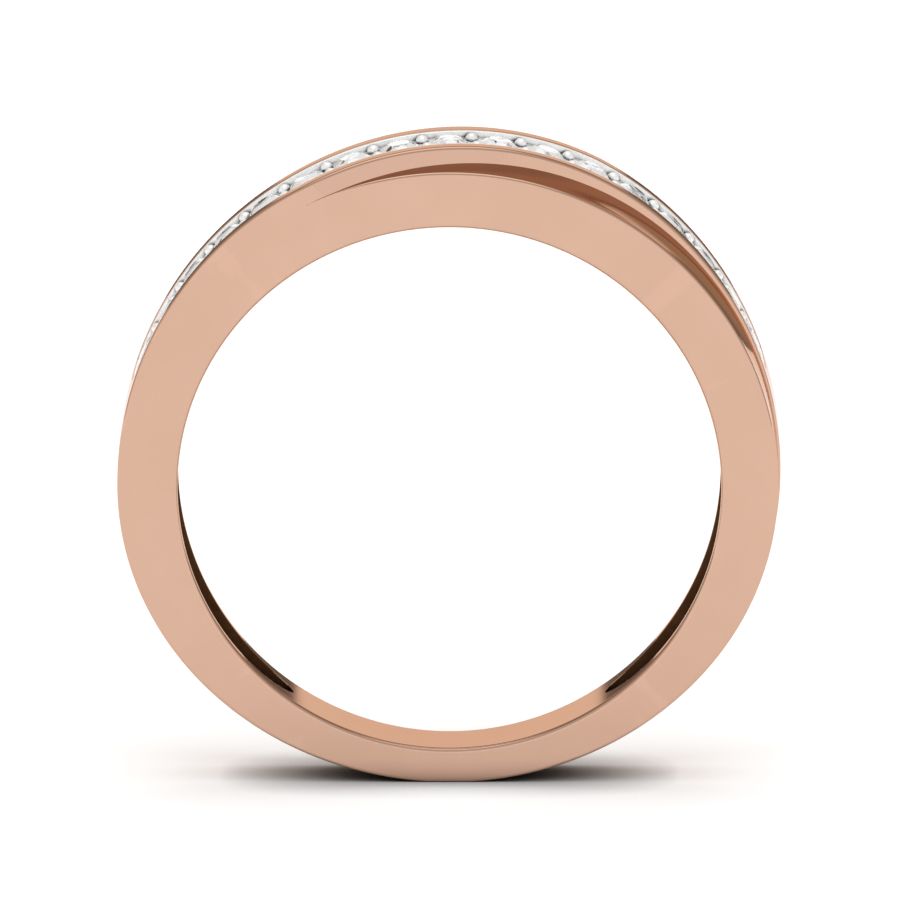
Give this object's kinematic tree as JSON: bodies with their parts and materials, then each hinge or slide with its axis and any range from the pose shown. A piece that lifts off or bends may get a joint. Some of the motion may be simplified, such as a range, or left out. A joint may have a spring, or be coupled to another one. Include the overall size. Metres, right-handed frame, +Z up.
{
  "type": "wedding band",
  "caption": "Rose-gold bypass wedding band: a plain ribbon crossed by a raised ribbon with a white channel of round brilliants, hollowed inside.",
  "frame": {"origin": "middle of the bottom of the box: the ring stands on its edge on Z = 0", "axes": "+Z up through the stones at the top, finger axis along Y, front (viewer's side) at -Y, +X to the viewer's right"},
  "size_m": [0.0212, 0.0044, 0.0209],
  "materials": {
    "rose_gold": "polished",
    "white_gold": "polished",
    "diamond": "faceted and polished"
  },
  "bodies": {
    "root": {"band": "rose_gold", "pave_inlay": "white_gold", "diamond_01": "diamond", "diamond_02": "diamond", "diamond_03": "diamond", "diamond_04": "diamond", "diamond_05": "diamond", "diamond_06": "diamond", "diamond_07": "diamond", "diamond_08": "diamond", "diamond_09": "diamond", "diamond_10": "diamond", "diamond_11": "diamond", "diamond_12": "diamond", "diamond_13": "diamond", "diamond_14": "diamond", "diamond_15": "diamond", "diamond_16": "diamond", "diamond_17": "diamond"}
  },
  "joints": []
}
